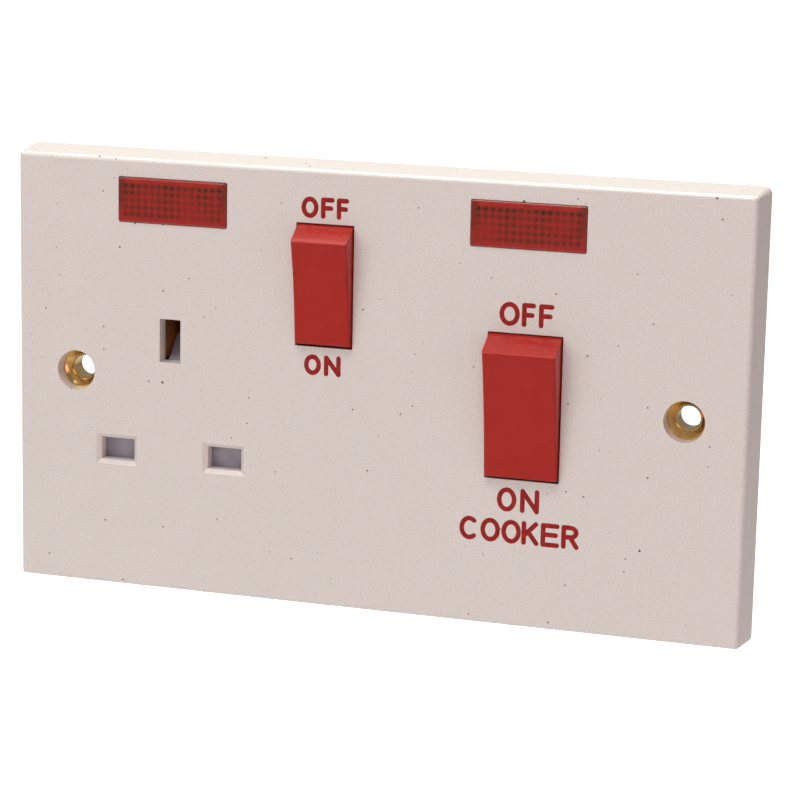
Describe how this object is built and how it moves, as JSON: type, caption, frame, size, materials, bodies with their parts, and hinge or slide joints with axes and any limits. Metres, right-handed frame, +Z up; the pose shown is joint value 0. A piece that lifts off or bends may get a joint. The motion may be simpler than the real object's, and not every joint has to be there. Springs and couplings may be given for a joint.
{
  "type": "cooker control unit",
  "caption": "Double wall plate that joins a cooker isolating switch to a switched three-pin socket, with red rockers and red neon windows above them.",
  "frame": {"origin": "centre of the plate's back rim, on the wall face and midway between the two fixing holes", "axes": "+X to the right seen from the front, along the plate's length; +Y into the wall, so the front faces -Y; +Z up"},
  "size_m": [0.146, 0.039, 0.086],
  "materials": {
    "plate_moulding": "moulded, lightly grained gloss",
    "window_red": "clear red, polished",
    "rocker_red": "satin gloss",
    "base_moulding": "dark phenolic moulding",
    "holder_moulding": "pale moulding",
    "shutter_moulding": "pale grey moulding",
    "plunger_nylon": "natural nylon",
    "spring_steel": "drawn wire",
    "screw_steel": "bright plated",
    "brass": "pressed and turned brass",
    "lamp_glass": "clear glass",
    "resistor_body": "dull glaze",
    "lead_wire": "tinned wire"
  },
  "bodies": {
    "unit": {"base_screws": "screw_steel", "cooker_base": "base_moulding", "cooker_line_fixed_contact": "brass", "cooker_line_fulcrum": "brass", "cooker_neutral_fixed_contact": "brass", "cooker_neutral_fulcrum": "brass", "earth_screws_left": "screw_steel", "earth_screws_right": "screw_steel", "earth_strap": "brass", "earth_terminal_left": "brass", "earth_terminal_right": "brass", "faceplate": "plate_moulding", "lamp_holder_left": "holder_moulding", "lamp_holder_right": "holder_moulding", "lamp_leads_left": "lead_wire", "lamp_leads_right": "lead_wire", "lamp_resistor_left": "resistor_body", "lamp_resistor_right": "resistor_body", "line_busbar": "brass", "load_line_screws": "screw_steel", "load_line_terminal": "brass", "load_neutral_screws": "screw_steel", "load_neutral_terminal": "brass", "neon_lamp_left": "lamp_glass", "neon_lamp_right": "lamp_glass", "neon_lens_left": "window_red", "neon_lens_right": "window_red", "neutral_busbar": "brass", "screw_bush_left": "brass", "screw_bush_right": "brass", "shutter_spring": "spring_steel", "socket_base": "base_moulding", "socket_earth_contact": "brass", "socket_fixed_contact": "brass", "socket_fulcrum": "brass", "socket_line_contact": "brass", "socket_neutral_contact": "brass", "supply_line_screws": "screw_steel", "supply_line_terminal": "brass", "supply_neutral_screws": "screw_steel", "supply_neutral_terminal": "brass", "switched_line_link": "brass"},
    "socket_rocker": {"socket_rocker": "rocker_red", "socket_plunger": "plunger_nylon", "socket_plunger_spring": "spring_steel"},
    "cooker_rocker": {"cooker_rocker": "rocker_red", "cooker_line_plunger": "plunger_nylon", "cooker_line_plunger_spring": "spring_steel", "cooker_neutral_plunger": "plunger_nylon", "cooker_neutral_plunger_spring": "spring_steel"},
    "socket_seesaw": {"socket_seesaw": "brass"},
    "cooker_line_seesaw": {"cooker_line_seesaw": "brass"},
    "cooker_neutral_seesaw": {"cooker_neutral_seesaw": "brass"},
    "shutter": {"shutter": "shutter_moulding"}
  },
  "joints": [
    {"name": "socket_rocker_hinge", "type": "hinge", "parent": "unit", "child": "socket_rocker", "pos_m": [-0.00952, -0.0036, 0.0202], "axis": [1, 0, 0], "range_deg": [-17.4, 0]},
    {"name": "cooker_rocker_hinge", "type": "hinge", "parent": "unit", "child": "cooker_rocker", "pos_m": [0.02986, -0.0036, 0.0001], "axis": [1, 0, 0], "range_deg": [-17.4, 0]},
    {"name": "socket_seesaw_pivot", "type": "hinge", "parent": "unit", "child": "socket_seesaw", "pos_m": [-0.00952, 0.0103, 0.0202], "axis": [1, 0, 0], "range_deg": [0, 14]},
    {"name": "cooker_line_seesaw_pivot", "type": "hinge", "parent": "unit", "child": "cooker_line_seesaw", "pos_m": [0.02586, 0.0103, 0.0001], "axis": [1, 0, 0], "range_deg": [0, 14]},
    {"name": "cooker_neutral_seesaw_pivot", "type": "hinge", "parent": "unit", "child": "cooker_neutral_seesaw", "pos_m": [0.03386, 0.0103, 0.0001], "axis": [1, 0, 0], "range_deg": [0, 14]},
    {"name": "shutter_slide", "type": "slide", "parent": "unit", "child": "shutter", "axis": [0, 0, -1], "range_m": [0, 0.0046], "stiffness_N_per_m": 120, "springref_m": -0.002, "deforming": ["shutter_spring"]}
  ],
  "couplings": [
    {"joint": "socket_seesaw_pivot", "follows": "socket_rocker_hinge", "ratio": -0.8},
    {"joint": "cooker_line_seesaw_pivot", "follows": "cooker_rocker_hinge", "ratio": -0.8},
    {"joint": "cooker_neutral_seesaw_pivot", "follows": "cooker_rocker_hinge", "ratio": -0.8}
  ]
}
